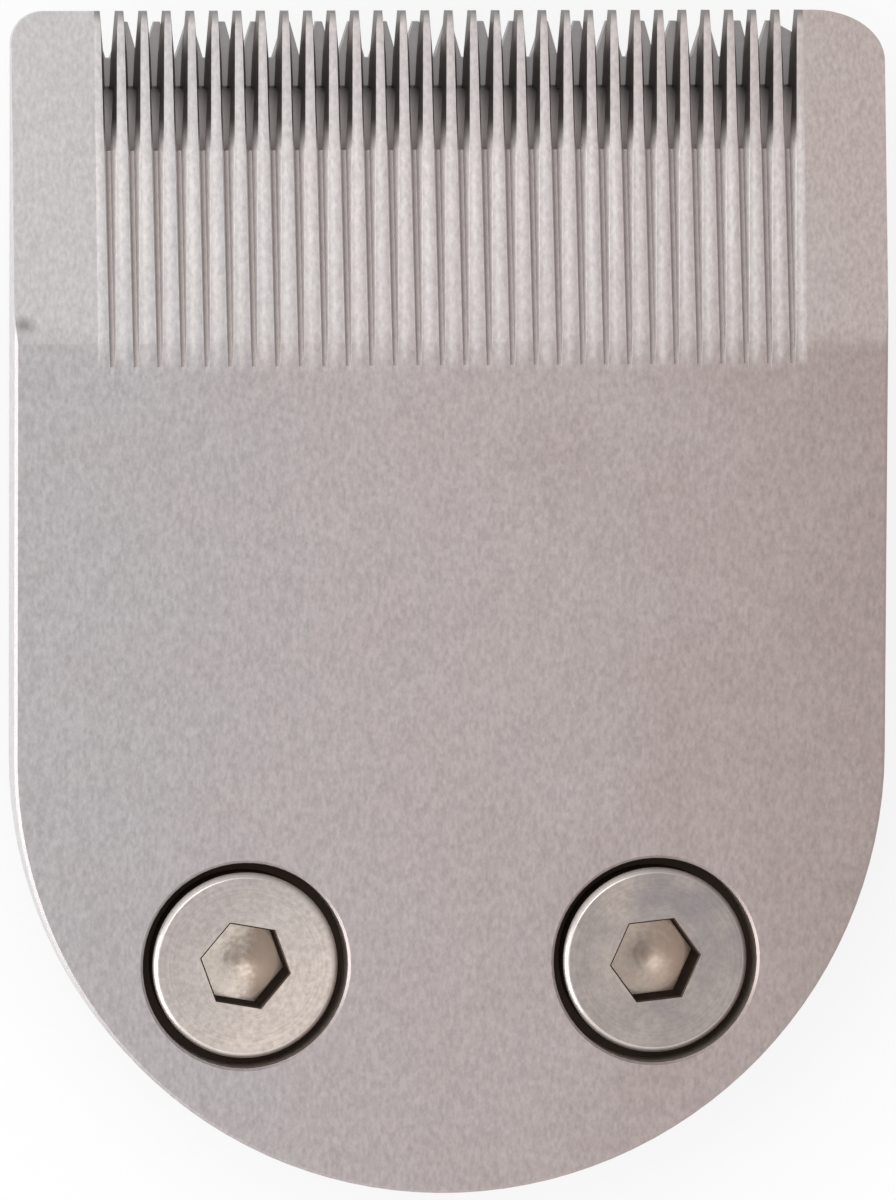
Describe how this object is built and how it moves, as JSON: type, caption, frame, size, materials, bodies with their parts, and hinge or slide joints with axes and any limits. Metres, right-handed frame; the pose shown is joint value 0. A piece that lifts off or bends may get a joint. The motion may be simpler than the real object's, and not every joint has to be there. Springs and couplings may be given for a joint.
{
  "type": "hair trimmer blade",
  "caption": "Detachable hair trimmer blade: ground steel comb plate with a round rear end, screwed to a moulded base that holds a spring-pressed sliding cutter.",
  "frame": {"origin": "on the surface the blade lies on, at the middle of the comb plate's length and width", "axes": "+X across the teeth, +Y towards the tooth tips, +Z out of the comb plate's face"},
  "size_m": [0.033, 0.0444, 0.0075],
  "materials": {
    "comb_steel": "satin ground",
    "cutter_steel": "satin ground",
    "screw_steel": "turned satin",
    "spring_steel": "drawn wire",
    "insert_brass": "turned",
    "base_plastic": "fine texture",
    "carrier_plastic": "moulded satin"
  },
  "bodies": {
    "base": {"blade_base": "base_plastic", "comb_plate": "comb_steel", "left_screw": "screw_steel", "right_screw": "screw_steel", "left_insert": "insert_brass", "right_insert": "insert_brass", "pressure_spring": "spring_steel"},
    "cutter": {"cutter_blade": "cutter_steel", "drive_carrier": "carrier_plastic"}
  },
  "joints": [
    {"name": "cutter_slide", "type": "slide", "parent": "base", "child": "cutter", "axis": [1, 0, 0], "range_m": [-0.0006, 0.0018]}
  ]
}
